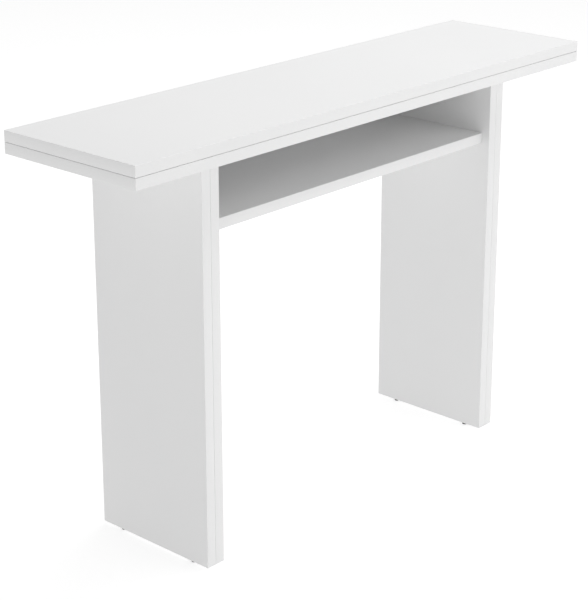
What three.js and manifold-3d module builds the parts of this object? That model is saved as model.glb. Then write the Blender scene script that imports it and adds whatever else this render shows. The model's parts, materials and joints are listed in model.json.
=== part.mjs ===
// Console table with a fold-over top: the upper slab opens backwards on three hinges, and the outer board
// of each leg swings round on two hinges to stand under it.
// Millimetres, +Z up. X runs along the table, the front faces -Y, and the origin is on the floor at the
// middle of the closed table's box.

import * as THREE from 'three';
import { mergeVertices } from 'three/addons/utils/BufferGeometryUtils.js';
import Module from 'manifold-3d';

const wasm = await Module();
wasm.setup();

// ---- Driving dimensions ----

const TOP_LENGTH = 1150;
const TOP_DEPTH = 300;
const BOARD = 19; // thickness of every board
const SLAB_GAP = 0.6; // between the two slabs, held open by two thin dots
const LEG_GAP = 0.3; // between the two boards of a leg
const BUTT_GAP = 0.1; // between two boards that are pulled tight together
const FIT = 0.2; // clearance between a piece and the recess or bore that holds it

const LEG_HEIGHT = 709;
const LEG_INSET = 178; // from the end of the top to the leg's outer face
const LEG_SETBACK = 43; // from the front of the top to the front of the leg
const GATE_TOP_CLEARANCE = 1; // between a gate board and the slab or leaf above it

const SHELF_RISE = 580; // from the bottom of the leg to the underside of the shelf
const SHELF_SETBACK = 16.5; // from the front of the leg to the front of the shelf

const FOOT_HEIGHT = 5;
const FOOT_RADIUS = 5;
const FOOT_FROM_EDGE = 42; // from the front or back edge of the leg to the foot's centre
const FOOT_TAPER = 0.3; // how much narrower the foot is at its top and just above its sole
const FOOT_SOLE_INSET = 1; // from the foot's side to the edge of its flat sole
const FOOT_SOLE_RISE = 0.7;
const FOOT_RIM = 0.6;
const NAIL_RADIUS = 1.2;
const NAIL_LENGTH = 12;

const AXIS_STANDOFF = 0.3; // hinge axis behind the boards' back edges
const KNUCKLE_RADIUS = 3;
const PIN_RADIUS = 1.5;
const PIN_BORE_RADIUS = 1.6;
const PIN_HEAD_HEIGHT = 0.8;
const PIN_HEAD_OVERHANG = 0.6;
const PLATE_THICKNESS = 1.5;
const PLATE_REACH = 16.8; // from the hinge axis to the plate's far edge
const HINGE_LENGTH = 60;
const KNUCKLE_PLAY = 0.25; // along the pin, between two knuckles
const BARREL_CLEARANCE = 0.4; // round a knuckle, in the boards and in the other plate
const SCREW_HOLE_RADIUS = 2;
const SCREW_FROM_AXIS = 10;
const SCREW_FROM_END = 10; // from the end of the plate
const LEAF_HINGE_PLACES = [-460, 0, 460]; // along the top, from its middle
const GATE_HINGE_FROM_END = 90; // from the top or bottom of the leg to the hinge's middle

const CAM_RADIUS = 7.4;
const CAM_DEPTH = 12.4;
const CAM_DISTANCE = 34; // from the joint to the cam's centre
const CAM_SUNK = 0.1; // below the face of its board
const CAM_SLOT_LENGTH = 8;
const CAM_SLOT_WIDTH = 1.6;
const CAM_SLOT_DEPTH = 2;
const CAM_CHANNEL_PAST_MIDDLE = 3; // how far the bolt's channel runs beyond the cam's centre
const BOLT_RADIUS = 3;
const BOLT_THREAD_LENGTH = 11;
const BOLT_POINT_LENGTH = 2;
const BOLT_POINT_TAPER = 1;
const BOLT_NECK_RADIUS = 2;
const BOLT_NECK_LENGTH = 4;
const BOLT_SHOULDER = 1;
const BOLT_HEAD_RADIUS = 3.4;
const BOLT_HEAD_LENGTH = 3;
const BOLT_HEAD_CHAMFER = 0.6;
const BOLT_HOLE_RADIUS = 4;
const TOP_BOLT_FROM_EDGE = 50; // from the front or back edge of the leg
const SHELF_BOLT_FROM_EDGE = 45; // from the front or back edge of the shelf

const DOT_RADIUS = 5;
const DOT_THICKNESS = 0.5;
const DOT_FROM_EDGE = 25;

const OVERCUT = 1; // how far a cutter runs past the face that it opens
const ROUND_SIDES = 12; // of a hinge's barrel, a foot or a dot
const CAM_SIDES = 16;
const BOLT_SIDES = 10;
const NAIL_SIDES = 8;

// ---- Places worked out from them ----

const BACK_PROUD = AXIS_STANDOFF + KNUCKLE_RADIUS;
const FRONT = -(TOP_DEPTH + BACK_PROUD) / 2;
const BACK = FRONT + TOP_DEPTH;
const AXIS_Y = BACK + AXIS_STANDOFF;

const LEG_BOTTOM = FOOT_HEIGHT;
const LEG_TOP = LEG_BOTTOM + LEG_HEIGHT;
const LEG_FRONT = FRONT + LEG_SETBACK;
const FIXED_TOP_BOTTOM = LEG_TOP + BUTT_GAP;
const SLAB_SEAM = FIXED_TOP_BOTTOM + BOARD + SLAB_GAP / 2;
const GATE_TOP = FIXED_TOP_BOTTOM - GATE_TOP_CLEARANCE;

const LEG_SEAM = TOP_LENGTH / 2 - LEG_INSET - BOARD - LEG_GAP / 2; // distance from the middle, each side
const LEG_INNER_FACE = LEG_SEAM - LEG_GAP / 2 - BOARD;
const SHELF_BOTTOM = LEG_BOTTOM + SHELF_RISE;
const SHELF_TOP = SHELF_BOTTOM + BOARD;
const SHELF_FRONT = LEG_FRONT + SHELF_SETBACK;

const HALF_HINGE = HINGE_LENGTH / 2;
const HALF_KNUCKLE = HINGE_LENGTH / 6; // half of the middle knuckle, which is a third of the hinge

const SIDES = [
  { name: 'left', sign: -1 },
  { name: 'right', sign: 1 },
];

// ---- Finishes ----

const finishes = {
  melamine: new THREE.MeshStandardMaterial({ color: 0xebebeb, roughness: 0.45, metalness: 0 }),
  steel: new THREE.MeshStandardMaterial({ color: 0xb9bcc0, roughness: 0.3, metalness: 1 }),
  zinc: new THREE.MeshStandardMaterial({ color: 0x9c9fa3, roughness: 0.5, metalness: 1 }),
  plastic: new THREE.MeshStandardMaterial({ color: 0x17181a, roughness: 0.6, metalness: 0 }),
  clear: new THREE.MeshStandardMaterial({ color: 0xd9dde0, roughness: 0.2, metalness: 0 }),
};

// ---- Solids ----

function solid(geometry) {
  geometry.deleteAttribute('normal');
  geometry.deleteAttribute('uv');
  const merged = mergeVertices(geometry, 1e-4);
  return new wasm.Manifold(new wasm.Mesh({
    numProp: 3,
    vertProperties: merged.attributes.position.array,
    triVerts: new Uint32Array(merged.index.array),
  }));
}

// A box from its lowest to its highest corner.
function box(low, high) {
  const size = high.map((value, i) => value - low[i]);
  const geometry = new THREE.BoxGeometry(...size);
  geometry.translate(...low.map((value, i) => value + size[i] / 2));
  return solid(geometry);
}

// A turned shape. Its profile is a list of [radius, distance along the axis], and the axis starts at a
// point and runs along a direction.
function turned(profile, sides, at, direction) {
  const points = profile.map(([radius, along]) => new THREE.Vector2(radius, along));
  const geometry = new THREE.LatheGeometry(points, sides);
  const turn = new THREE.Quaternion().setFromUnitVectors(
    new THREE.Vector3(0, 1, 0),
    new THREE.Vector3(...direction),
  );
  geometry.applyQuaternion(turn);
  geometry.translate(...at);
  return solid(geometry);
}

// A plain rod from one point along a direction.
function rod(radius, length, sides, at, direction) {
  const profile = [[0, 0], [radius, 0], [radius, length], [0, length]];
  return turned(profile, sides, at, direction);
}

function cut(body, tools) {
  return tools.reduce((left, tool) => left.subtract(tool), body);
}

function join(pieces) {
  return pieces.reduce((whole, piece) => whole.add(piece));
}

const group = new THREE.Group();

// Puts a finished solid in the group as a named mesh.
function addNode(name, body, finish) {
  const mesh = body.getMesh();
  const geometry = new THREE.BufferGeometry();
  geometry.setAttribute('position', new THREE.BufferAttribute(new Float32Array(mesh.vertProperties), 3));
  geometry.setIndex(new THREE.BufferAttribute(new Uint32Array(mesh.triVerts), 1));
  geometry.computeVertexNormals();
  const node = new THREE.Mesh(geometry, finish);
  node.name = name;
  group.add(node);
}

// ---- Hinges ----

// A hinge is described in its own frame: u points away from the boards' back edges, v across the seam
// from the fixed board to the moving one, and w along the pin. `at` turns a point in u, v, w into the
// table's frame, `block` makes a box between two such points, and `bar` a rod round the pin's line.
function hingeFrame(origin, v, w) {
  const at = (u, across, along) => [
    origin[0] + across * v[0] + along * w[0],
    origin[1] + u,
    origin[2] + across * v[2] + along * w[2],
  ];
  const block = (low, high) => {
    const a = at(...low);
    const b = at(...high);
    return box(a.map((value, i) => Math.min(value, b[i])), a.map((value, i) => Math.max(value, b[i])));
  };
  const bar = (radius, start, end) => rod(radius, end - start, ROUND_SIDES, at(0, 0, start), w);
  return { at, block, bar, w };
}

const FIXED_KNUCKLES = [
  [-HALF_HINGE, -HALF_KNUCKLE - KNUCKLE_PLAY / 2],
  [HALF_KNUCKLE + KNUCKLE_PLAY / 2, HALF_HINGE],
];
const MOVING_KNUCKLES = [[-HALF_KNUCKLE + KNUCKLE_PLAY / 2, HALF_KNUCKLE - KNUCKLE_PLAY / 2]];

// One plate with its knuckles; side is -1 for the fixed board and 1 for the moving board.
function hingePlate(frame, side, knuckles) {
  const inner = -AXIS_STANDOFF - PLATE_THICKNESS;
  const flap = (start, end, near) => frame.block(
    [inner, side * near, start],
    [-AXIS_STANDOFF, side * PLATE_REACH, end],
  );
  const pieces = [flap(-HALF_HINGE, HALF_HINGE, KNUCKLE_RADIUS + BARREL_CLEARANCE)];
  for (const [start, end] of knuckles) {
    pieces.push(flap(start, end, 0));
    pieces.push(frame.bar(KNUCKLE_RADIUS, start, end));
  }
  const holes = [frame.bar(PIN_BORE_RADIUS, -HALF_HINGE - OVERCUT, HALF_HINGE + OVERCUT)];
  for (const w of [SCREW_FROM_END - HALF_HINGE, HALF_HINGE - SCREW_FROM_END]) {
    const start = frame.at(inner - OVERCUT, side * SCREW_FROM_AXIS, w);
    holes.push(rod(SCREW_HOLE_RADIUS, PLATE_THICKNESS + 2 * OVERCUT, ROUND_SIDES, start, [0, 1, 0]));
  }
  return cut(join(pieces), holes);
}

// The pin, with a small flat head at each end.
function hingePin(frame) {
  const headRadius = PIN_RADIUS + PIN_HEAD_OVERHANG;
  const end = HALF_HINGE + PIN_HEAD_HEIGHT;
  const neck = HALF_HINGE + FIT;
  const profile = [
    [0, -end],
    [headRadius, -end],
    [headRadius, -neck],
    [PIN_RADIUS, -neck],
    [PIN_RADIUS, neck],
    [headRadius, neck],
    [headRadius, end],
    [0, end],
  ];
  return turned(profile, ROUND_SIDES, frame.at(0, 0, 0), frame.w);
}

// What a hinge takes out of one board: a shallow recess for the plate and a round relief for the barrel,
// long enough to clear the pin's heads.
function hingeRecess(frame, side) {
  const half = HALF_HINGE + FIT;
  const recess = frame.block(
    [-AXIS_STANDOFF - PLATE_THICKNESS - FIT, 0, -half],
    [KNUCKLE_RADIUS, side * (PLATE_REACH + FIT), half],
  );
  const reliefEnd = half + OVERCUT;
  const relief = frame.bar(KNUCKLE_RADIUS + BARREL_CLEARANCE, -reliefEnd, reliefEnd);
  return [recess, relief];
}

const hinges = [];

LEAF_HINGE_PLACES.forEach((x, i) => {
  hinges.push({
    name: `leaf_hinge_${i + 1}`,
    fixed: 'fixed_top',
    moving: 'leaf_top',
    frame: hingeFrame([x, AXIS_Y, SLAB_SEAM], [0, 0, 1], [1, 0, 0]),
  });
});

for (const side of SIDES) {
  const places = { lower: LEG_BOTTOM + GATE_HINGE_FROM_END, upper: LEG_TOP - GATE_HINGE_FROM_END };
  for (const [place, z] of Object.entries(places)) {
    hinges.push({
      name: `${side.name}_gate_hinge_${place}`,
      fixed: `${side.name}_inner_leg`,
      moving: `${side.name}_gate_leg`,
      frame: hingeFrame([side.sign * LEG_SEAM, AXIS_Y, z], [side.sign, 0, 0], [0, 0, 1]),
    });
  }
}

// ---- Cam fittings ----

// Each fitting pulls the board with the cam against the board with the bolt's thread. `joint` is the
// point on the joint's plane, `bolt` points from there into the cam's board, and `face` points from the
// middle of that board out of the face that the cam is set in.
const fittings = [];

for (const side of SIDES) {
  const middle = side.sign * (LEG_INNER_FACE + BOARD / 2);
  const legPlaces = { front: LEG_FRONT + TOP_BOLT_FROM_EDGE, back: BACK - TOP_BOLT_FROM_EDGE };
  for (const [place, y] of Object.entries(legPlaces)) {
    fittings.push({
      name: `${side.name}_top_${place}`,
      thread: 'fixed_top',
      camBoard: `${side.name}_inner_leg`,
      joint: [middle, y, LEG_TOP],
      bolt: [0, 0, -1],
      face: [side.sign, 0, 0],
    });
  }
  const end = side.sign * LEG_INNER_FACE;
  const shelfPlaces = { front: SHELF_FRONT + SHELF_BOLT_FROM_EDGE, back: BACK - SHELF_BOLT_FROM_EDGE };
  for (const [place, y] of Object.entries(shelfPlaces)) {
    fittings.push({
      name: `${side.name}_shelf_${place}`,
      thread: `${side.name}_inner_leg`,
      camBoard: 'shelf',
      joint: [end, y, SHELF_BOTTOM + BOARD / 2],
      bolt: [-side.sign, 0, 0],
      face: [0, 0, -1],
    });
  }
  fittings.push({
    name: `${side.name}_back`,
    thread: `${side.name}_inner_leg`,
    camBoard: 'back_panel',
    joint: [end, BACK - BOARD / 2, (SHELF_TOP + LEG_TOP) / 2],
    bolt: [-side.sign, 0, 0],
    face: [0, 1, 0],
  });
}

function along(point, direction, distance) {
  return point.map((value, i) => value + direction[i] * distance);
}

function opposite(direction) {
  return direction.map((value) => (value === 0 ? 0 : -value));
}

// A box about a centre. Each span is a unit direction and how far the box reaches along it, from and to.
function orientedBox(centre, spans) {
  const low = [...centre];
  const high = [...centre];
  for (const [direction, from, to] of spans) {
    for (let i = 0; i < 3; i += 1) {
      low[i] += Math.min(direction[i] * from, direction[i] * to);
      high[i] += Math.max(direction[i] * from, direction[i] * to);
    }
  }
  return box(low, high);
}

function cross(a, b) {
  return new THREE.Vector3(...a).cross(new THREE.Vector3(...b)).toArray();
}

// A drum with a cross slot in its face and an open channel for the bolt's head.
function cam(fitting) {
  const middle = along(fitting.joint, fitting.bolt, CAM_DISTANCE);
  const outside = along(middle, fitting.face, BOARD / 2 - CAM_SUNK);
  const width = cross(fitting.face, fitting.bolt);
  const drum = rod(CAM_RADIUS, CAM_DEPTH, CAM_SIDES, outside, opposite(fitting.face));
  const channelHalf = BOLT_HEAD_RADIUS + 2 * FIT;
  const channel = orientedBox(middle, [
    [fitting.bolt, -CAM_RADIUS - OVERCUT, CAM_CHANNEL_PAST_MIDDLE],
    [width, -channelHalf, channelHalf],
    [fitting.face, -BOARD / 2, channelHalf],
  ]);
  const slots = [[fitting.bolt, width], [width, fitting.bolt]].map(([lengthwise, sideways]) => (
    orientedBox(outside, [
      [lengthwise, -CAM_SLOT_LENGTH / 2, CAM_SLOT_LENGTH / 2],
      [sideways, -CAM_SLOT_WIDTH / 2, CAM_SLOT_WIDTH / 2],
      [fitting.face, -CAM_SLOT_DEPTH, OVERCUT],
    ])
  ));
  return cut(drum, [channel, ...slots]);
}

// The bolt's thread ends behind the joint, and its head lies in the middle of the cam.
function bolt(fitting) {
  const headStart = CAM_DISTANCE - BOLT_HEAD_LENGTH / 2;
  const headEnd = CAM_DISTANCE + BOLT_HEAD_LENGTH / 2;
  const neckStart = headStart - BOLT_NECK_LENGTH;
  const profile = [
    [0, -BOLT_THREAD_LENGTH],
    [BOLT_RADIUS - BOLT_POINT_TAPER, -BOLT_THREAD_LENGTH],
    [BOLT_RADIUS, -BOLT_THREAD_LENGTH + BOLT_POINT_LENGTH],
    [BOLT_RADIUS, neckStart - BOLT_SHOULDER],
    [BOLT_NECK_RADIUS, neckStart],
    [BOLT_NECK_RADIUS, headStart],
    [BOLT_HEAD_RADIUS, headStart + BOLT_HEAD_CHAMFER],
    [BOLT_HEAD_RADIUS, headEnd - BOLT_HEAD_CHAMFER],
    [BOLT_NECK_RADIUS, headEnd],
    [0, headEnd],
  ];
  return turned(profile, BOLT_SIDES, fitting.joint, fitting.bolt);
}

// What a fitting takes out of the board with the cam: the cam's bore, as deep as the bolt's hole goes,
// and the bolt's hole.
function camHoles(fitting) {
  const middle = along(fitting.joint, fitting.bolt, CAM_DISTANCE);
  const outside = along(middle, fitting.face, BOARD / 2 + OVERCUT);
  const boreLength = OVERCUT + BOARD / 2 + BOLT_HOLE_RADIUS;
  const start = along(fitting.joint, fitting.bolt, -OVERCUT);
  return [
    rod(CAM_RADIUS + FIT, boreLength, CAM_SIDES, outside, opposite(fitting.face)),
    rod(BOLT_HOLE_RADIUS, CAM_DISTANCE + OVERCUT, BOLT_SIDES, start, fitting.bolt),
  ];
}

// What a fitting takes out of the board that the bolt is screwed into.
function threadHole(fitting) {
  const start = along(fitting.joint, fitting.bolt, OVERCUT);
  const length = OVERCUT + BOLT_THREAD_LENGTH + 2 * FIT;
  return rod(BOLT_RADIUS + FIT, length, BOLT_SIDES, start, opposite(fitting.bolt));
}

// ---- Feet ----

const feet = [];

for (const side of SIDES) {
  const boards = {
    inner: side.sign * (LEG_INNER_FACE + BOARD / 2),
    gate: side.sign * (LEG_SEAM + LEG_GAP / 2 + BOARD / 2),
  };
  const places = { front: LEG_FRONT + FOOT_FROM_EDGE, back: BACK - FOOT_FROM_EDGE };
  for (const [board, x] of Object.entries(boards)) {
    for (const [place, y] of Object.entries(places)) {
      feet.push({ name: `${side.name}_${board}_foot_${place}`, leg: `${side.name}_${board}_leg`, x, y });
    }
  }
}

// A glide with a slightly tapered rim and the nail that holds it.
function foot({ x, y }) {
  const top = FOOT_HEIGHT - BUTT_GAP;
  const glide = turned([
    [0, 0],
    [FOOT_RADIUS - FOOT_SOLE_INSET, 0],
    [FOOT_RADIUS - FOOT_TAPER, FOOT_SOLE_RISE],
    [FOOT_RADIUS, top - FOOT_RIM],
    [FOOT_RADIUS - FOOT_TAPER, top],
    [0, top],
  ], ROUND_SIDES, [x, y, 0], [0, 0, 1]);
  const nail = rod(NAIL_RADIUS, NAIL_LENGTH + OVERCUT, NAIL_SIDES, [x, y, top - OVERCUT], [0, 0, 1]);
  return glide.add(nail);
}

function nailHole({ x, y }) {
  const start = [x, y, LEG_BOTTOM - OVERCUT];
  return rod(NAIL_RADIUS + FIT, OVERCUT + NAIL_LENGTH, NAIL_SIDES, start, [0, 0, 1]);
}

// ---- Boards ----

// A leg board from its nearest to its farthest face from the table's middle.
function legBoard(side, near, far, top) {
  const xs = [side.sign * near, side.sign * far];
  return box([Math.min(...xs), LEG_FRONT, LEG_BOTTOM], [Math.max(...xs), BACK, top]);
}

const HALF_TOP = TOP_LENGTH / 2;

function slab(bottom) {
  return box([-HALF_TOP, FRONT, bottom], [HALF_TOP, BACK, bottom + BOARD]);
}

const boards = {
  fixed_top: slab(FIXED_TOP_BOTTOM),
  leaf_top: slab(SLAB_SEAM + SLAB_GAP / 2),
};

for (const side of SIDES) {
  const gateFace = LEG_SEAM + LEG_GAP / 2;
  boards[`${side.name}_inner_leg`] = legBoard(side, LEG_INNER_FACE, LEG_INNER_FACE + BOARD, LEG_TOP);
  boards[`${side.name}_gate_leg`] = legBoard(side, gateFace, gateFace + BOARD, GATE_TOP);
}

const span = LEG_INNER_FACE - BUTT_GAP;
boards.shelf = box([-span, SHELF_FRONT, SHELF_BOTTOM], [span, BACK, SHELF_TOP]);
boards.back_panel = box([-span, BACK - BOARD, SHELF_TOP + BUTT_GAP], [span, BACK, LEG_TOP]);

for (const [name, body] of Object.entries(boards)) {
  const tools = [];
  for (const hinge of hinges) {
    if (hinge.fixed === name) tools.push(...hingeRecess(hinge.frame, -1));
    if (hinge.moving === name) tools.push(...hingeRecess(hinge.frame, 1));
  }
  for (const fitting of fittings) {
    if (fitting.camBoard === name) tools.push(...camHoles(fitting));
    if (fitting.thread === name) tools.push(threadHole(fitting));
  }
  for (const place of feet) {
    if (place.leg === name) tools.push(nailHole(place));
  }
  addNode(name, cut(body, tools), finishes.melamine);
}

// ---- Hardware ----

for (const { name, frame } of hinges) {
  addNode(`${name}_fixed_plate`, hingePlate(frame, -1, FIXED_KNUCKLES), finishes.steel);
  addNode(`${name}_moving_plate`, hingePlate(frame, 1, MOVING_KNUCKLES), finishes.steel);
  addNode(`${name}_pin`, hingePin(frame), finishes.steel);
}

for (const fitting of fittings) {
  addNode(`${fitting.name}_cam`, cam(fitting), finishes.zinc);
  addNode(`${fitting.name}_bolt`, bolt(fitting), finishes.steel);
}

for (const place of feet) {
  addNode(place.name, foot(place), finishes.plastic);
}

for (const side of SIDES) {
  const at = [side.sign * (HALF_TOP - DOT_FROM_EDGE), FRONT + DOT_FROM_EDGE, SLAB_SEAM - SLAB_GAP / 2];
  const dot = rod(DOT_RADIUS, DOT_THICKNESS, ROUND_SIDES, at, [0, 0, 1]);
  addNode(`${side.name}_slab_dot`, dot, finishes.clear);
}

export default group;
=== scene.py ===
"""Console table with a fold-over top: the looks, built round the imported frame.

Everything is in metres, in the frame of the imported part: +Z up, X along the table, the front faces -Y.
Places and sizes come from the frame's boxes. Boards, hinges, cams, bolts, screws and feet are made here.
"""
import json
import math

import bmesh
import bpy
from mathutils import Matrix, Vector


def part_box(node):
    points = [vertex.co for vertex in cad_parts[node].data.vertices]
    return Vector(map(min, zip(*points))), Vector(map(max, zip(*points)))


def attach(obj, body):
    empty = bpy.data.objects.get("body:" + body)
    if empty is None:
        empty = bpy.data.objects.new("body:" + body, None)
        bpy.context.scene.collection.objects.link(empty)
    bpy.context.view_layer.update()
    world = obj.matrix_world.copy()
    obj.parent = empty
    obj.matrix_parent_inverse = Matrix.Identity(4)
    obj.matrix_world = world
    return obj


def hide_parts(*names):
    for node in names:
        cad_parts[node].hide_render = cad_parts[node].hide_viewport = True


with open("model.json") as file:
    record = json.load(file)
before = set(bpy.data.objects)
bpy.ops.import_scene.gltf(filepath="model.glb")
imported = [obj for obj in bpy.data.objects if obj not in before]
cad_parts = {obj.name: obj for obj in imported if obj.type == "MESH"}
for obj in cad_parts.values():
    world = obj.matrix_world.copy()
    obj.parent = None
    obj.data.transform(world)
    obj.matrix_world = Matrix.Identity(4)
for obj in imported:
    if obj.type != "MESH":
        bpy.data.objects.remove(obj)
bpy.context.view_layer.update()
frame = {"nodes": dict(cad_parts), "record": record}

MM = 0.001
TINY = 0.01 * MM  # less than any measure of the object
MERGE = 1e-7  # closer than this, two points are one
OVERCUT = 1.0 * MM  # how far a cutter runs past the face that it cuts
FIT = 0.2 * MM  # clearance between a fitting and its recess
ROUND = 48  # sides of a turned piece

# Boards
BAND = 1.0 * MM  # thickness of the edge band
BAND_ROUNDING = 0.4 * MM
HAIRLINE = 0.02 * MM  # between the band and the panel
PANEL_ARRIS = 0.05 * MM

# Hinges, in a hinge's own frame: x out of the boards, y towards the moving board, z along the pin
KNUCKLE_RADIUS = 3.0 * MM
KNUCKLE_HALF = 10.0 * MM  # half the length of the middle knuckle
KNUCKLE_PLAY = 0.125 * MM
KNUCKLE_BEVEL = 0.25 * MM
PIN_RADIUS = 1.5 * MM
PIN_BORE = 1.6 * MM
PIN_HEAD = 2.1 * MM
PIN_HEAD_HEIGHT = 0.8 * MM
PIN_HEAD_ROUNDING = 0.35 * MM
PLATE = 1.5 * MM  # thickness of the sheet
PLATE_NEAR = 3.4 * MM  # from the axis to the near and the far edge of the flat
PLATE_FAR = 16.8 * MM
PLATE_CORNER = 2.8 * MM
AXIS_STANDOFF = 0.3 * MM  # from the plate's face to the axis
RECESS_CORNER = 3.0 * MM
BARREL_PLAY = 0.4 * MM  # round the knuckles and past their ends, in the boards
BARREL_END_PLAY = 1.2 * MM
SCREW_V = 10.0 * MM  # from the axis to a screw
SCREW_W = 20.0 * MM  # from the hinge's middle to a screw
SCREW_SINK = 3.6 * MM
SCREW_SHANK = 1.7 * MM

# Cams, bolts and feet
BOLT_DEPTH = 9.4 * MM  # from a cam's face to the middle of its bolt
CAM_BORE_DEPTH = 13.6 * MM
BOLT_BORE, BOLT_BORE_DEPTH = 4.0 * MM, 40.0 * MM  # radius and depth, in the cam's board
THREAD_BORE, THREAD_BORE_DEPTH = 3.2 * MM, 12.0 * MM  # radius and depth, in the other board
THREAD_LENGTH = 10.0 * MM
NAIL_RADIUS = 1.2 * MM
FOOT_TOP = 4.9 * MM  # the foot's plastic ends just under the board


# ---------------------------------------------------------------- materials

def new_material(name, colour, roughness, metallic=0.0):
    """A material with a Principled shader, and its nodes."""
    material = bpy.data.materials.new(name)
    material.use_nodes = True
    material.diffuse_color = (*colour, 1.0)
    shader = material.node_tree.nodes["Principled BSDF"]
    shader.inputs["Base Color"].default_value = (*colour, 1.0)
    shader.inputs["Roughness"].default_value = roughness
    shader.inputs["Metallic"].default_value = metallic
    return material, material.node_tree, shader


def noise(tree, scale, detail=2.0, roughness=0.5, stretch=(1, 1, 1)):
    """A noise in metres on the piece, stretched along its axes."""
    place = tree.nodes.new("ShaderNodeTexCoord")
    mapping = tree.nodes.new("ShaderNodeMapping")
    mapping.inputs["Scale"].default_value = stretch
    texture = tree.nodes.new("ShaderNodeTexNoise")
    texture.inputs["Scale"].default_value = scale
    texture.inputs["Detail"].default_value = detail
    texture.inputs["Roughness"].default_value = roughness
    tree.links.new(place.outputs["Object"], mapping.inputs["Vector"])
    tree.links.new(mapping.outputs["Vector"], texture.inputs["Vector"])
    return texture.outputs["Fac"]


def ramp(tree, value, stops):
    """A colour ramp through (position, grey or colour) stops."""
    node = tree.nodes.new("ShaderNodeValToRGB")
    elements = node.color_ramp.elements
    while len(elements) < len(stops):
        elements.new(0.5)
    for element, (position, colour) in zip(elements, stops):
        if not hasattr(colour, "__len__"):
            colour = (colour, colour, colour)
        element.position = position
        element.color = (*colour, 1.0)
    tree.links.new(value, node.inputs["Fac"])
    return node.outputs["Color"]


def span(tree, value, from_low, from_high, to_low, to_high):
    """A value carried from one range to another, and held inside it."""
    node = tree.nodes.new("ShaderNodeMapRange")
    node.inputs["From Min"].default_value = from_low
    node.inputs["From Max"].default_value = from_high
    node.inputs["To Min"].default_value = to_low
    node.inputs["To Max"].default_value = to_high
    tree.links.new(value, node.inputs["Value"])
    return node.outputs["Result"]


def bump(tree, shader, *layers):
    """Bumps of (height, strength, distance in metres) on top of one another."""
    normal = None
    for height, strength, distance in layers:
        node = tree.nodes.new("ShaderNodeBump")
        node.inputs["Strength"].default_value = strength
        node.inputs["Distance"].default_value = distance
        tree.links.new(height, node.inputs["Height"])
        if normal is not None:
            tree.links.new(normal, node.inputs["Normal"])
        normal = node.outputs["Normal"]
    tree.links.new(normal, shader.inputs["Normal"])


def melamine():
    """Matt white melamine: a faint pearl in the surface and a very faint cloud in the white."""
    material, tree, shader = new_material("white_melamine", (0.80, 0.80, 0.80), 0.52)
    shader.inputs["Specular IOR Level"].default_value = 0.28
    cloud = noise(tree, 2.2, 3.0)
    white = ramp(tree, cloud, [(0.3, (0.792, 0.793, 0.794)), (0.7, (0.808, 0.808, 0.807))])
    tree.links.new(white, shader.inputs["Base Color"])
    pearl = noise(tree, 700.0, 2.0, 0.45)
    smear = noise(tree, 14.0, 4.0, 0.6)
    tree.links.new(span(tree, smear, 0.25, 0.75, 0.48, 0.57), shader.inputs["Roughness"])
    bump(tree, shader, (pearl, 0.10, 0.00006), (noise(tree, 130.0, 1.0), 0.05, 0.0002))
    return material


def edge_band():
    """White plastic edge band: a little glossier than the faces, with fine lines along its length."""
    material, tree, shader = new_material("white_edge_band", (0.81, 0.81, 0.81), 0.44)
    shader.inputs["Specular IOR Level"].default_value = 0.35
    cloud = noise(tree, 6.0, 2.0)
    white = ramp(tree, cloud, [(0.3, (0.800, 0.801, 0.802)), (0.7, (0.818, 0.818, 0.817))])
    tree.links.new(white, shader.inputs["Base Color"])
    lines = noise(tree, 260.0, 2.0, 0.5, (0.25, 1.0, 1.0))
    tree.links.new(span(tree, lines, 0.3, 0.7, 0.40, 0.49), shader.inputs["Roughness"])
    bump(tree, shader, (lines, 0.08, 0.00006))
    return material


def chipboard():
    """The core where it is cut: pressed flakes of pale and darker wood."""
    material, tree, shader = new_material("chipboard_core", (0.52, 0.38, 0.23), 0.9)
    place = tree.nodes.new("ShaderNodeTexCoord")
    flakes = tree.nodes.new("ShaderNodeTexVoronoi")
    flakes.inputs["Scale"].default_value = 420.0
    tree.links.new(place.outputs["Object"], flakes.inputs["Vector"])
    split = tree.nodes.new("ShaderNodeSeparateColor")
    tree.links.new(flakes.outputs["Color"], split.inputs["Color"])
    tones = [(0.0, (0.30, 0.19, 0.10)), (0.35, (0.50, 0.36, 0.21)), (1.0, (0.70, 0.56, 0.38))]
    tree.links.new(ramp(tree, split.outputs["Red"], tones), shader.inputs["Base Color"])
    bump(tree, shader, (flakes.outputs["Distance"], 0.6, 0.0004), (noise(tree, 1500.0, 3.0), 0.3, 0.0002))
    return material


def plated_steel():
    """Nickel-plated pressed steel: fine rolling lines and a slightly uneven shine."""
    material, tree, shader = new_material("plated_steel", (0.66, 0.65, 0.62), 0.28, 1.0)
    cloud = noise(tree, 40.0, 3.0)
    tone = ramp(tree, cloud, [(0.3, (0.61, 0.60, 0.57)), (0.7, (0.70, 0.69, 0.67))])
    tree.links.new(tone, shader.inputs["Base Color"])
    lines = noise(tree, 1400.0, 2.0, 0.6, (0.06, 1.0, 1.0))
    tree.links.new(span(tree, lines, 0.3, 0.7, 0.22, 0.38), shader.inputs["Roughness"])
    bump(tree, shader, (lines, 0.12, 0.00005), (noise(tree, 90.0, 2.0), 0.05, 0.0002))
    return material


def cast_zinc():
    """Raw die-cast zinc: dull, grainy, darker in its hollows."""
    material, tree, shader = new_material("cast_zinc", (0.46, 0.47, 0.48), 0.5, 1.0)
    grain = noise(tree, 900.0, 5.0, 0.65)
    tone = ramp(tree, grain, [(0.3, (0.36, 0.37, 0.38)), (0.7, (0.56, 0.57, 0.58))])
    tree.links.new(tone, shader.inputs["Base Color"])
    tree.links.new(span(tree, noise(tree, 60.0, 3.0), 0.3, 0.7, 0.40, 0.62), shader.inputs["Roughness"])
    bump(tree, shader, (grain, 0.35, 0.0001))
    return material


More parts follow.
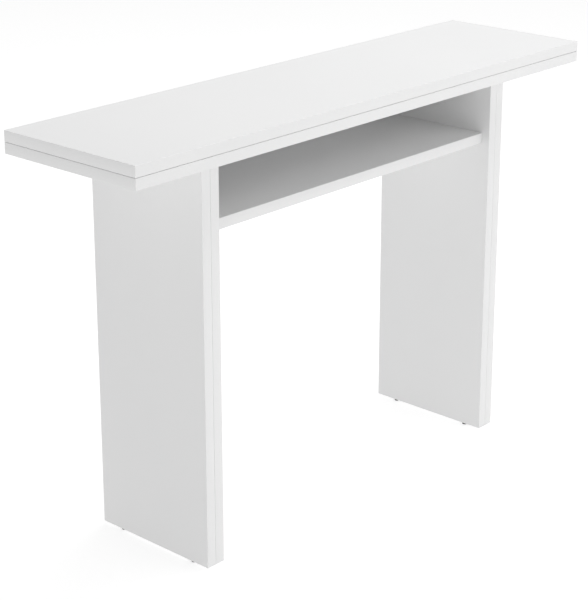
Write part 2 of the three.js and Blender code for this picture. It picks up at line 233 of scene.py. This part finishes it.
def black_plastic():
    """Moulded black plastic with a fine matt skin."""
    material, tree, shader = new_material("black_plastic", (0.014, 0.014, 0.015), 0.55)
    shader.inputs["Specular IOR Level"].default_value = 0.3
    skin = noise(tree, 1100.0, 3.0, 0.55)
    tone = ramp(tree, noise(tree, 60.0, 3.0), [(0.3, (0.010, 0.010, 0.011)), (0.7, (0.020, 0.020, 0.021))])
    tree.links.new(tone, shader.inputs["Base Color"])
    tree.links.new(span(tree, skin, 0.3, 0.7, 0.46, 0.64), shader.inputs["Roughness"])
    bump(tree, shader, (skin, 0.25, 0.0001))
    return material


def clear_vinyl():
    """Soft clear vinyl, a little cloudy."""
    material, tree, shader = new_material("clear_vinyl", (0.82, 0.84, 0.85), 0.22)
    shader.inputs["Transmission Weight"].default_value = 0.55
    shader.inputs["IOR"].default_value = 1.5
    haze = noise(tree, 300.0, 3.0)
    tone = ramp(tree, haze, [(0.3, (0.76, 0.79, 0.80)), (0.7, (0.86, 0.88, 0.89))])
    tree.links.new(tone, shader.inputs["Base Color"])
    tree.links.new(span(tree, haze, 0.3, 0.7, 0.16, 0.32), shader.inputs["Roughness"])
    bump(tree, shader, (haze, 0.1, 0.0001))
    return material


MELAMINE = melamine()
BAND_PLASTIC = edge_band()
CORE = chipboard()
STEEL = plated_steel()
ZINC = cast_zinc()
PLASTIC = black_plastic()
VINYL = clear_vinyl()


# ---------------------------------------------------------------- making meshes

def to_object(name, bm, *materials):
    """An object of a bmesh, whose faces already face outwards."""
    mesh = bpy.data.meshes.new(name)
    bm.to_mesh(mesh)
    bm.free()
    for material in materials:
        mesh.materials.append(material)
    obj = bpy.data.objects.new(name, mesh)
    bpy.context.scene.collection.objects.link(obj)
    return obj


def smooth(obj, angle=35.0):
    """Smooth shading, kept sharp at edges steeper than the angle."""
    mesh = obj.data
    mesh.shade_smooth()
    mesh.set_sharp_from_angle(angle=math.radians(angle))
    return obj


def box_mesh(low_corner, high_corner):
    """A box between two corners."""
    bm = bmesh.new()
    bmesh.ops.create_cube(bm, size=1.0)
    size = high_corner - low_corner
    middle = (high_corner + low_corner) / 2
    bmesh.ops.scale(bm, vec=size, verts=bm.verts)
    bmesh.ops.translate(bm, vec=middle, verts=bm.verts)
    return bm


def turn_to(direction):
    """The rotation that takes +Z to a direction."""
    return Vector((0, 0, 1)).rotation_difference(Vector(direction)).to_matrix().to_4x4()


def ring(bm, radius, height):
    """A round of points about Z, or the one point where it meets the axis."""
    if radius == 0:
        return [bm.verts.new((0, 0, height))]
    angles = [2 * math.pi * k / ROUND for k in range(ROUND)]
    return [bm.verts.new((radius * math.cos(a), radius * math.sin(a), height)) for a in angles]


def wall(bm, lower, upper):
    """The faces between two rings."""
    for k in range(ROUND):
        n = (k + 1) % ROUND
        if len(lower) == 1:
            bm.faces.new((lower[0], upper[n], upper[k]))
        elif len(upper) == 1:
            bm.faces.new((lower[k], lower[n], upper[0]))
        else:
            bm.faces.new((lower[k], lower[n], upper[n], upper[k]))


def lathe(profile):
    """A closed turned shape about Z, from (radius, height) points that go up from the axis to the axis."""
    bm = bmesh.new()
    rings = [ring(bm, radius, height) for radius, height in profile]
    for lower, upper in zip(rings, rings[1:]):
        wall(bm, lower, upper)
    return bm


def prism(upper_outline, top, lower_outline, bottom):
    """A closed shape between two outlines, each anticlockwise from above."""
    bm = bmesh.new()
    upper = [bm.verts.new((x, y, top)) for x, y in upper_outline]
    lower = [bm.verts.new((x, y, bottom)) for x, y in lower_outline]
    bm.faces.new(upper)
    bm.faces.new(lower[::-1])
    for k in range(len(upper)):
        n = (k + 1) % len(upper)
        bm.faces.new((upper[k], lower[k], lower[n], upper[n]))
    return bm


def soften(bm, edges, radius, segments):
    """Rounds some of a shape's edges."""
    bmesh.ops.bevel(bm, geom=edges, offset=radius, segments=segments, profile=0.5, affect="EDGES")


def fillet(corner, before, after, radius, steps=4):
    """Points that round the corner of a profile between its two neighbours."""
    c = Vector(corner)
    a = (Vector(before) - c).normalized()
    b = (Vector(after) - c).normalized()
    half = a.angle(b) / 2
    reach = radius / math.tan(half)
    centre = c + (a + b).normalized() * (radius / math.sin(half))
    start = c + a * reach - centre
    end = c + b * reach - centre
    points = []
    for k in range(steps + 1):
        arm = start.lerp(end, k / steps).normalized() * radius
        points.append(tuple(centre + arm))
    return points


def rounded(profile, radii):
    """A profile whose corners are rounded; radii is a radius or 0 for each point."""
    points = []
    for k, (point, radius) in enumerate(zip(profile, radii)):
        if radius:
            points += fillet(point, profile[k - 1], profile[k + 1], radius)
        else:
            points.append(point)
    return points


def boolean(obj, operation, others):
    """Takes others from an object or adds them to it. Their material shows on the cuts, and they go."""
    for other in others:
        step = obj.modifiers.new("step", "BOOLEAN")
        step.operation = operation
        step.solver = "EXACT"
        step.material_mode = "TRANSFER"
        step.object = other
    bake(obj)
    for other in others:
        bpy.data.objects.remove(other)


def bake(obj):
    """Puts an object's modifiers into its mesh."""
    depsgraph = bpy.context.evaluated_depsgraph_get()
    mesh = bpy.data.meshes.new_from_object(obj.evaluated_get(depsgraph))
    old = obj.data
    obj.modifiers.clear()
    obj.data = mesh
    bpy.data.meshes.remove(old)
    bm = bmesh.new()
    bm.from_mesh(mesh)
    bmesh.ops.remove_doubles(bm, verts=bm.verts, dist=MERGE)
    bmesh.ops.dissolve_degenerate(bm, edges=bm.edges, dist=MERGE)
    bm.to_mesh(mesh)
    bm.free()


def cutter(bm, material=CORE):
    """An object that only cuts, in the material that the cut shows."""
    return to_object("cutter", bm, material)


def bore(radius, bottom, top, place, material=CORE):
    """A cutter for a round hole between two heights of a frame."""
    bm = lathe([(0, bottom), (radius, bottom), (radius, top), (0, top)])
    bm.transform(place)
    return cutter(bm, material)


def detach(obj):
    """An object's mesh, without the object."""
    mesh = obj.data
    bpy.data.objects.remove(obj)
    return mesh


def place_mesh(name, mesh, place):
    """An object with its own copy of a mesh, put in its place."""
    mesh = mesh.copy()
    mesh.transform(place)
    obj = bpy.data.objects.new(name, mesh)
    bpy.context.scene.collection.objects.link(obj)
    return obj


def joined(parts):
    """One bmesh of several."""
    whole = bmesh.new()
    for part in parts:
        mesh = bpy.data.meshes.new("part")
        part.to_mesh(mesh)
        part.free()
        whole.from_mesh(mesh)
        bpy.data.meshes.remove(mesh)
    return whole


def finish_piece(obj, body, slot, *nodes):
    """Hangs a piece under the body that it rides on, and hides the CAD nodes that it stands for. Its
    finish (slot) is not used.
    """
    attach(obj, body)
    if nodes:
        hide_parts(*nodes)
    return obj


BODY_OF = {node: body for body, nodes in frame["record"]["behaviour"]["bodies"].items() for node in nodes}


# ---------------------------------------------------------------- hinges

def round_far_corners(bm, radius, segments):
    """Rounds the corners of a plate, or of its recess, that are far from the pin."""
    across = [e for e in bm.edges if abs((e.verts[0].co - e.verts[1].co).x) > TINY]
    soften(bm, [e for e in across if abs(e.verts[0].co.y) > PLATE_FAR - MM], radius, segments)


class Hinge:
    """Where one hinge is: its axis, and u away from the boards' edges, v towards the moving board."""

    def __init__(self, name):
        self.name = name
        pin_low, pin_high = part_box(name + "_pin")
        size = pin_high - pin_low
        long_way = max(range(3), key=lambda i: size[i])
        self.centre = (pin_low + pin_high) / 2
        fixed = self.plate_middle("fixed")
        moving = self.plate_middle("moving")
        u = Vector((0, 1, 0))
        w = Vector([1.0 if i == long_way else 0.0 for i in range(3)])
        v = (moving - fixed).normalized()
        if u.cross(v).dot(w) < 0:
            w = -w
        self.half = size[long_way] / 2 - PIN_HEAD_HEIGHT
        self.matrix = Matrix.Translation(self.centre) @ Matrix((u, v, w)).transposed().to_4x4()

    def plate_middle(self, which):
        plate_low, plate_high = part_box(f"{self.name}_{which}_plate")
        return (plate_low + plate_high) / 2

    def recess(self, side):
        """What the hinge takes out of a board: side is -1 for the fixed board, 1 for the moving one."""
        reach = side * (PLATE_FAR + FIT)
        low_corner = Vector((-AXIS_STANDOFF - PLATE - FIT, min(0, reach), -self.half - FIT))
        high_corner = Vector((2 * KNUCKLE_RADIUS, max(0, reach), self.half + FIT))
        block = box_mesh(low_corner, high_corner)
        round_far_corners(block, RECESS_CORNER, 6)
        block.transform(self.matrix)
        half = self.half + BARREL_END_PLAY
        return [cutter(block), bore(KNUCKLE_RADIUS + BARREL_PLAY, -half, half, self.matrix)]


HINGES = [Hinge(n[: -len("_pin")]) for n in sorted(frame["nodes"]) if n.endswith("_pin")]


def knuckle(start, end):
    """A rolled barrel of a hinge plate, with softened ends and the pin's bore."""
    r, inner, soft = KNUCKLE_RADIUS, PIN_BORE, KNUCKLE_BEVEL
    profile = [(inner, start), (r - soft, start), (r, start + soft)]
    profile += [(r, end - soft), (r - soft, end), (inner, end)]
    bm = bmesh.new()
    rings = [ring(bm, radius, height) for radius, height in profile]
    for lower, upper in zip(rings, rings[1:] + rings[:1]):
        wall(bm, lower, upper)
    return bm


def sheet_box(side, near, far, start, end):
    """A box of a plate's sheet, between two distances from the axis and two places along the pin."""
    ys = sorted((side * near, side * far))
    low_corner = Vector((-AXIS_STANDOFF - PLATE, ys[0], start))
    high_corner = Vector((-AXIS_STANDOFF, ys[1], end))
    return box_mesh(low_corner, high_corner)


def screw_place(side, w):
    """Where a screw's head is in a hinge's frame, with +Z out of the plate."""
    return Matrix.Translation((-AXIS_STANDOFF, side * SCREW_V, w)) @ turn_to((1, 0, 0))


def plate_mesh(side, knuckles, half):
    """A hinge plate in the hinge's own frame: flat, barrels, two countersunk holes."""
    flat = sheet_box(side, PLATE_NEAR, PLATE_FAR, -half, half)
    round_far_corners(flat, PLATE_CORNER, 8)
    plate = to_object("plate", flat, STEEL)
    arms = []
    for start, end in knuckles:
        arms.append(to_object("arm", sheet_box(side, 0.0, PLATE_NEAR + OVERCUT, start, end), STEEL))
        arms.append(to_object("barrel", knuckle(start, end), STEEL))
    boolean(plate, "UNION", arms)
    holes = [bore(PIN_BORE, -half - OVERCUT, half + OVERCUT, Matrix(), STEEL)]
    hole, deep = SCREW_SHANK + FIT, PLATE + OVERCUT
    for w in (-SCREW_W, SCREW_W):
        profile = [(0, -deep), (hole, -deep), (hole, -PLATE), (SCREW_SINK, 0)]
        profile += [(SCREW_SINK, OVERCUT), (0, OVERCUT)]
        sink = lathe(profile)
        sink.transform(screw_place(side, w))
        holes.append(cutter(sink, STEEL))
    boolean(plate, "DIFFERENCE", holes)
    return detach(plate)


def screw_mesh():
    """A countersunk cross-head screw, its point down and its head's face just under z = 0."""
    head, cone, length = 3.45 * MM, 1.6 * MM, 13 * MM
    root, pitch, point = 1.25 * MM, 1.4 * MM, 2.0 * MM
    profile = [(0, -length), (0.2 * MM, -length + 0.3 * MM)]
    for k in range(int((length - cone - point - MM) / pitch)):
        base = -length + point + k * pitch
        profile += [(root, base), (SCREW_SHANK, base + pitch * 0.35), (root, base + pitch * 0.7)]
    profile += [(root, -cone), (head, -0.15 * MM), (head, -0.08 * MM), (head - 0.1 * MM, -0.04 * MM)]
    profile += [(0, -0.04 * MM)]
    screw = to_object("screw", lathe(profile), STEEL)
    long_side, short_side, depth = 1.9 * MM, 0.42 * MM, 1.1 * MM
    outline = [(-long_side, -short_side), (long_side, -short_side)]
    outline += [(long_side, short_side), (-long_side, short_side)]
    tapered = [(x * 0.45, y * 0.8) for x, y in outline]
    wings = []
    for turn in (0, 90):
        wing = prism(outline, 0.5 * MM, tapered, -depth)
        wing.transform(Matrix.Rotation(math.radians(turn), 4, "Z"))
        wings.append(cutter(wing, STEEL))
    boolean(screw, "DIFFERENCE", wings)
    return detach(screw)


def pin_mesh(half):
    """A hinge pin with a riveted head at each end."""
    r, head, reach = PIN_RADIUS, PIN_HEAD, half + PIN_HEAD_HEIGHT
    under = half + FIT  # where a head begins
    profile = [(0, -reach), (head, -reach), (head, -under), (r, -under), (r, under), (head, under)]
    profile += [(head, reach), (0, reach)]
    soft = PIN_HEAD_ROUNDING
    return lathe(rounded(profile, [0, soft, 0, 0, 0, 0, soft, 0]))


def build_hinges():
    """Every hinge: two plates, their screws and the pin. The hinges are all one size."""
    half = HINGES[0].half
    inner, outer = KNUCKLE_HALF - KNUCKLE_PLAY, KNUCKLE_HALF + KNUCKLE_PLAY
    shapes = {
        "fixed": plate_mesh(-1, [(-half, -outer), (outer, half)], half),
        "moving": plate_mesh(1, [(-inner, inner)], half),
    }
    screw = screw_mesh()
    for i, hinge in enumerate(HINGES):
        for which, side in (("fixed", -1), ("moving", 1)):
            node = f"{hinge.name}_{which}_plate"
            plate = place_mesh(node + "_pressed", shapes[which], hinge.matrix)
            finish_piece(smooth(plate), BODY_OF[node], "plated_steel", node)

            screws = bmesh.new()
            for k, w in enumerate((-SCREW_W, SCREW_W)):
                one = screw.copy()
                spin = Matrix.Rotation(math.radians(25 + 37 * (2 * i + k)), 4, "Z")  # no two alike
                one.transform(hinge.matrix @ screw_place(side, w) @ spin)
                screws.from_mesh(one)
                bpy.data.meshes.remove(one)
            obj = to_object(f"{hinge.name}_{which}_screws", screws, STEEL)
            finish_piece(smooth(obj), BODY_OF[node], "plated_steel")

        node = hinge.name + "_pin"
        bm = pin_mesh(half)
        bm.transform(hinge.matrix)
        finish_piece(smooth(to_object(node + "_riveted", bm, STEEL)), BODY_OF[node], "plated_steel", node)


# ---------------------------------------------------------------- cams and bolts

class Fitting:
    """Where one cam fitting is: the cam's middle, the way it faces, and the way its bolt comes in."""

    def __init__(self, name):
        self.name = name
        cam_low, cam_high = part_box(name + "_cam")
        bolt_low, bolt_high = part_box(name + "_bolt")
        size = cam_high - cam_low
        short_way = min(range(3), key=lambda i: size[i])
        bolt_size = bolt_high - bolt_low
        long_way = max(range(3), key=lambda i: bolt_size[i])
        middle = (cam_low + cam_high) / 2
        bolt_middle = (bolt_low + bolt_high) / 2
        out = Vector((0, 0, 0))
        out[short_way] = math.copysign(1.0, middle[short_way] - bolt_middle[short_way])
        into = Vector((0, 0, 0))
        into[long_way] = math.copysign(1.0, middle[long_way] - bolt_middle[long_way])
        self.depth = size[short_way]
        self.radius = max(size) / 2
        self.face = middle + out * (self.depth / 2)
        self.out, self.into = out, into
        self.head = bolt_middle + into * (bolt_size[long_way] / 2)
        self.length = bolt_size[long_way]
        turn = Matrix((into, out.cross(into), out)).transposed().to_4x4()
        self.matrix = Matrix.Translation(self.face) @ turn


FITTINGS = [Fitting(n[: -len("_cam")]) for n in sorted(frame["nodes"]) if n.endswith("_cam")]


def cam_mesh(fitting):
    """A cam drum, its face at z = 0: a rim, a cross slot, an arrow and the channel for the bolt."""
    r, depth = fitting.radius, fitting.depth
    profile = [(0, -depth), (r - 0.4 * MM, -depth), (r, -depth + 0.4 * MM), (r, -0.9 * MM)]
    profile += [(r - 0.25 * MM, -0.5 * MM), (r - 0.25 * MM, -0.1 * MM), (r - 0.5 * MM, 0)]
    profile += [(r - 1.4 * MM, 0), (r - 1.7 * MM, -0.35 * MM), (0, -0.35 * MM)]
    drum = to_object("drum", lathe(profile), ZINC)
    channel = 3.8 * MM
    low_corner = Vector((-r - OVERCUT, -channel, -depth - OVERCUT))
    high_corner = Vector((3 * MM, channel, channel - BOLT_DEPTH))
    cuts = [cutter(box_mesh(low_corner, high_corner), ZINC)]
    long_side, short_side, deep = 3.6 * MM, 0.6 * MM, 2.4 * MM
    for turn in (0, 90):
        slot = box_mesh(Vector((-long_side, -short_side, -deep)), Vector((long_side, short_side, OVERCUT)))
        slot.transform(Matrix.Rotation(math.radians(turn), 4, "Z"))
        cuts.append(cutter(slot, ZINC))
    arrow = [(-r + 1.9 * MM, 0), (-r + 3.1 * MM, -1.0 * MM), (-r + 3.1 * MM, 1.0 * MM)]
    cuts.append(cutter(prism(arrow, OVERCUT, arrow, -0.7 * MM), ZINC))
    boolean(drum, "DIFFERENCE", cuts)
    return detach(drum)


def bolt_mesh(length):
    """A quick-fit bolt, head end at z = 0 and pointing down: head, neck, collar and coarse thread."""
    root, crest, neck = 2.2 * MM, 3.0 * MM, 2.0 * MM
    head, collar = 3.35 * MM, 2.95 * MM
    pitch, point = 1.8 * MM, 1.1 * MM
    profile = [(0, -length), (root - 0.7 * MM, -length), (root, -length + 0.9 * MM)]
    for k in range(int((THREAD_LENGTH - MM) / pitch)):
        base = -length + point + k * pitch
        profile += [(root, base), (crest, base + pitch * 0.35), (crest, base + pitch * 0.45)]
        profile += [(root, base + pitch * 0.85)]
    profile += [(collar, -length + THREAD_LENGTH + 0.6 * MM), (collar, -8.2 * MM), (neck, -7.2 * MM)]
    profile += [(neck, -3.4 * MM), (head, -2.6 * MM), (head, -0.9 * MM), (neck + 0.3 * MM, 0), (0, 0)]
    return lathe(profile)


def build_fittings():
    """Every cam and its bolt. The cams are all one size."""
    drum = cam_mesh(FITTINGS[0])
    for fitting in FITTINGS:
        node = fitting.name + "_cam"
        obj = place_mesh(node + "_cast", drum, fitting.matrix)
        finish_piece(smooth(obj), BODY_OF[node], "cast_zinc", node)

        node = fitting.name + "_bolt"
        bm = bolt_mesh(fitting.length)
        bm.transform(Matrix.Translation(fitting.head) @ turn_to(fitting.into))
        finish_piece(smooth(to_object(node + "_turned", bm, STEEL)), BODY_OF[node], "plated_steel", node)


# ---------------------------------------------------------------- what is cut out of the boards

FEET = sorted(n for n in frame["nodes"] if "_foot_" in n)


def inside(point, board_low, board_high, axes=range(3)):
    """Whether a point is in a board's box, along some of its axes."""
    return all(board_low[i] <= point[i] <= board_high[i] for i in axes)


def fitting_bores(board_low, board_high):
    """The cutters for every cam and bolt that is in a board's box."""
    cutters = []
    for fitting in FITTINGS:
        turn = turn_to(fitting.into)
        if inside(fitting.face - fitting.out * (fitting.depth / 2), board_low, board_high):
            cutters.append(bore(fitting.radius + FIT, -CAM_BORE_DEPTH, OVERCUT, fitting.matrix))
            head = Matrix.Translation(fitting.head) @ turn
            cutters.append(bore(BOLT_BORE, -BOLT_BORE_DEPTH, 0, head))
        if inside(fitting.head - fitting.into * (fitting.length - 2 * MM), board_low, board_high):
            start = fitting.head - fitting.into * (fitting.length + 0.5 * MM - THREAD_BORE_DEPTH)
            cutters.append(bore(THREAD_BORE, -THREAD_BORE_DEPTH, 0, Matrix.Translation(start) @ turn))
    return cutters


def nail_holes(board_low, board_high):
    """The cutters for every foot's nail that is in a board's box."""
    cutters = []
    for node in FEET:
        foot_low, foot_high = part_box(node)
        middle = (foot_low + foot_high) / 2
        if inside((middle.x, middle.y, foot_high.z), board_low, board_high):
            place = Matrix.Translation((middle.x, middle.y, 0))
            cutters.append(bore(NAIL_RADIUS + FIT, 0, foot_high.z + FIT, place))
    return cutters


def board_cutters(board_low, board_high):
    """The cutters for the fittings, nails and hinges that are in a board's box."""
    cutters = fitting_bores(board_low, board_high) + nail_holes(board_low, board_high)
    for hinge in HINGES:
        for which, side in (("fixed", -1), ("moving", 1)):
            if inside(hinge.plate_middle(which), board_low, board_high, (0, 2)):
                cutters += hinge.recess(side)
    return cutters


# ---------------------------------------------------------------- boards

# Each board: its node, the way its faces look, and the edges that have a band, as (axis, side).
FRONT_EDGE, BACK_EDGE = (1, -1), (1, 1)
LEFT_EDGE, RIGHT_EDGE = (0, -1), (0, 1)
BOTTOM_EDGE, TOP_EDGE = (2, -1), (2, 1)
SLAB_EDGES = [FRONT_EDGE, BACK_EDGE, LEFT_EDGE, RIGHT_EDGE]
BOARDS = {
    "leaf_top": (2, SLAB_EDGES),
    "fixed_top": (2, SLAB_EDGES),
    "shelf": (2, [FRONT_EDGE, BACK_EDGE]),
    "back_panel": (1, []),
    "left_inner_leg": (0, [FRONT_EDGE, BACK_EDGE, BOTTOM_EDGE]),
    "right_inner_leg": (0, [FRONT_EDGE, BACK_EDGE, BOTTOM_EDGE]),
    "left_gate_leg": (0, [FRONT_EDGE, BACK_EDGE, BOTTOM_EDGE, TOP_EDGE]),
    "right_gate_leg": (0, [FRONT_EDGE, BACK_EDGE, BOTTOM_EDGE, TOP_EDGE]),
}


def band_strip(board_low, board_high, faces_axis, edge, edges):
    """One strip of edge band. The first pair of edges runs the whole way, the other pair between them."""
    axis, side = edge
    other = 3 - axis - faces_axis
    low_corner, high_corner = board_low.copy(), board_high.copy()
    if side < 0:
        high_corner[axis] = board_low[axis] + BAND - HAIRLINE
    else:
        low_corner[axis] = board_high[axis] - BAND + HAIRLINE
    whole = axis == edges[0][0]
    if not whole:
        if (other, -1) in edges:
            low_corner[other] += BAND
        if (other, 1) in edges:
            high_corner[other] -= BAND
    bm = box_mesh(low_corner, high_corner)
    outside = high_corner[axis] if side > 0 else low_corner[axis]

    def is_rounded(edge):
        on_face = all(abs(v.co[axis] - outside) < TINY for v in edge.verts)
        runs = abs((edge.verts[0].co - edge.verts[1].co)[other]) > TINY
        return on_face and (runs or whole)

    soften(bm, [e for e in bm.edges if is_rounded(e)], BAND_ROUNDING, 4)
    return bm


def build_board(node, faces_axis, edges):
    """A board: a melamine-faced panel, and a band round the edges that are finished."""
    board_low, board_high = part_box(node)
    panel_low, panel_high = board_low.copy(), board_high.copy()
    for axis, side in edges:
        if side < 0:
            panel_low[axis] += BAND
        else:
            panel_high[axis] -= BAND
    bm = box_mesh(panel_low, panel_high)
    soften(bm, list(bm.edges), PANEL_ARRIS, 1)
    bm.normal_update()
    for face in bm.faces:
        face.material_index = 0 if abs(face.normal[faces_axis]) > 0.5 else 1
    panel = to_object(node + "_panel", bm, MELAMINE, CORE)
    boolean(panel, "DIFFERENCE", board_cutters(board_low, board_high))
    finish_piece(smooth(panel, 20), BODY_OF[node], "white_melamine", node)
    if edges:
        strips = [band_strip(board_low, board_high, faces_axis, e, edges) for e in edges]
        band = to_object(node + "_edge_band", joined(strips), BAND_PLASTIC)
        boolean(band, "DIFFERENCE", board_cutters(board_low, board_high))
        finish_piece(smooth(band), BODY_OF[node], "white_melamine")


# ---------------------------------------------------------------- feet and dots

def build_feet():
    """Every foot: a plastic glide that widens upwards a little, and its steel nail."""
    for node in FEET:
        foot_low, foot_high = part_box(node)
        middle = (foot_low + foot_high) / 2
        r, nail, reach = (foot_high.x - foot_low.x) / 2, NAIL_RADIUS, foot_high.z
        profile = [(0, 0), (r - 0.3 * MM, 0), (r - 0.15 * MM, 0.4 * MM), (r, FOOT_TOP - 0.6 * MM)]
        profile += [(r - 0.3 * MM, FOOT_TOP), (nail, FOOT_TOP), (nail, reach - 1.5 * MM), (0, reach)]
        soft = [0, 0.15 * MM, 0.1 * MM, 0.25 * MM, 0.15 * MM, 0, 0, 0]
        bm = lathe(rounded(profile, soft))
        bm.transform(Matrix.Translation((middle.x, middle.y, 0)))
        obj = to_object(node + "_glide", bm, PLASTIC, STEEL)
        for face in obj.data.polygons:
            if face.center.z > FOOT_TOP + 0.1 * MM:
                face.material_index = 1
        finish_piece(smooth(obj), BODY_OF[node], "black_plastic", node)


def build_dots():
    """The clear domed dots between the slabs."""
    for node in sorted(n for n in frame["nodes"] if n.endswith("_slab_dot")):
        dot_low, dot_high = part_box(node)
        r, h = (dot_high.x - dot_low.x) / 2, dot_high.z - dot_low.z
        profile = [(0, 0), (r, 0), (r * 0.97, h * 0.45), (r * 0.85, h * 0.8), (r * 0.6, h * 0.95), (0, h)]
        middle = (dot_low + dot_high) / 2
        bm = lathe(profile)
        bm.transform(Matrix.Translation((middle.x, middle.y, dot_low.z)))
        finish_piece(smooth(to_object(node + "_domed", bm, VINYL)), BODY_OF[node], "clear_pvc", node)


# ---------------------------------------------------------------- studio

FLOOR_HALF = 30.0
FLOOR_DROP = 0.2 * MM  # how far under the feet the floor lies
FLOOR_GLOW = 0.652
SKY_HIGH = 0.51  # the backdrop's brightness overhead
SKY_LOW = 0.42  # how much brighter it is at the horizon, where it meets the floor
SKY_FADE = 0.35  # the height on the sky's unit sphere where that has faded out
LIGHTS = {  # the side of the square, its power in watts, and where it hangs
    "top_light": (3.0, 77.0, (1.0, -0.1, 3.9)),
    "front_light": (2.5, 17.8, (0.9, -3.2, 1.8)),
}
LIGHT_AIM = (0, 0, 0.4)


def build_floor():
    """A plain white floor that glows like a light table, so that shadows on it stay faint."""
    bm = bmesh.new()
    bmesh.ops.create_grid(bm, x_segments=2, y_segments=2, size=FLOOR_HALF)
    material, tree, shader = new_material("studio_floor", (0.50, 0.50, 0.50), 0.85)
    tone = ramp(tree, noise(tree, 0.8, 2.0), [(0.3, 0.495), (0.7, 0.505)])
    tree.links.new(tone, shader.inputs["Base Color"])
    shader.inputs["Emission Color"].default_value = (1.0, 1.0, 1.0, 1.0)
    shader.inputs["Emission Strength"].default_value = FLOOR_GLOW
    shader.inputs["Specular IOR Level"].default_value = 0.1
    floor = to_object("floor", bm, material)
    floor.location.z = -FLOOR_DROP


def add_light(name, size, power, at, aim):
    """A large square soft light at a place, turned to an aim."""
    light = bpy.data.lights.new(name, "AREA")
    light.shape = "SQUARE"
    light.size = size
    light.energy = power
    obj = bpy.data.objects.new(name, light)
    obj.location = at
    obj.rotation_euler = (Vector(aim) - Vector(at)).to_track_quat("-Z", "Y").to_euler()
    bpy.context.scene.collection.objects.link(obj)


def build_backdrop():
    """An even white sky, a little brighter towards the horizon."""
    world = bpy.data.worlds.new("studio")
    world.use_nodes = True
    tree = world.node_tree
    sky = tree.nodes["Background"]
    place = tree.nodes.new("ShaderNodeTexCoord")
    parts = tree.nodes.new("ShaderNodeSeparateXYZ")
    tree.links.new(place.outputs["Generated"], parts.inputs["Vector"])
    strength = span(tree, parts.outputs["Z"], 0.0, SKY_FADE, SKY_HIGH + SKY_LOW, SKY_HIGH)
    tree.links.new(strength, sky.inputs["Strength"])
    sky.inputs["Color"].default_value = (1.0, 1.0, 1.0, 1.0)
    bpy.context.scene.world = world


def build_studio():
    """The backdrop, the lights and the floor."""
    bpy.context.scene.view_settings.view_transform = "Standard"
    build_backdrop()
    for name, (size, power, at) in LIGHTS.items():
        add_light(name, size, power, at, LIGHT_AIM)
    build_floor()


CAMERA_AT = (-2.274, -2.006, 1.482)
CAMERA_YAW = 47.78  # degrees from +Y towards +X
CAMERA_PITCH = -18.22
CAMERA_LENS = 107.4
CAMERA_SHIFT = (0.0, -0.12)


def build_camera():
    """The photograph's view."""
    data = bpy.data.cameras.new("camera")
    data.lens = CAMERA_LENS
    data.sensor_width = 36.0
    data.shift_x, data.shift_y = CAMERA_SHIFT
    data.clip_end = 100.0
    camera = bpy.data.objects.new("camera", data)
    camera.location = CAMERA_AT
    camera.rotation_euler = (math.radians(90 + CAMERA_PITCH), 0, math.radians(-CAMERA_YAW))
    bpy.context.scene.collection.objects.link(camera)
    bpy.context.scene.camera = camera


build_camera()
build_studio()
for board, (faces_axis, edges) in BOARDS.items():
    build_board(board, faces_axis, edges)
build_hinges()
build_fittings()
build_feet()
build_dots()
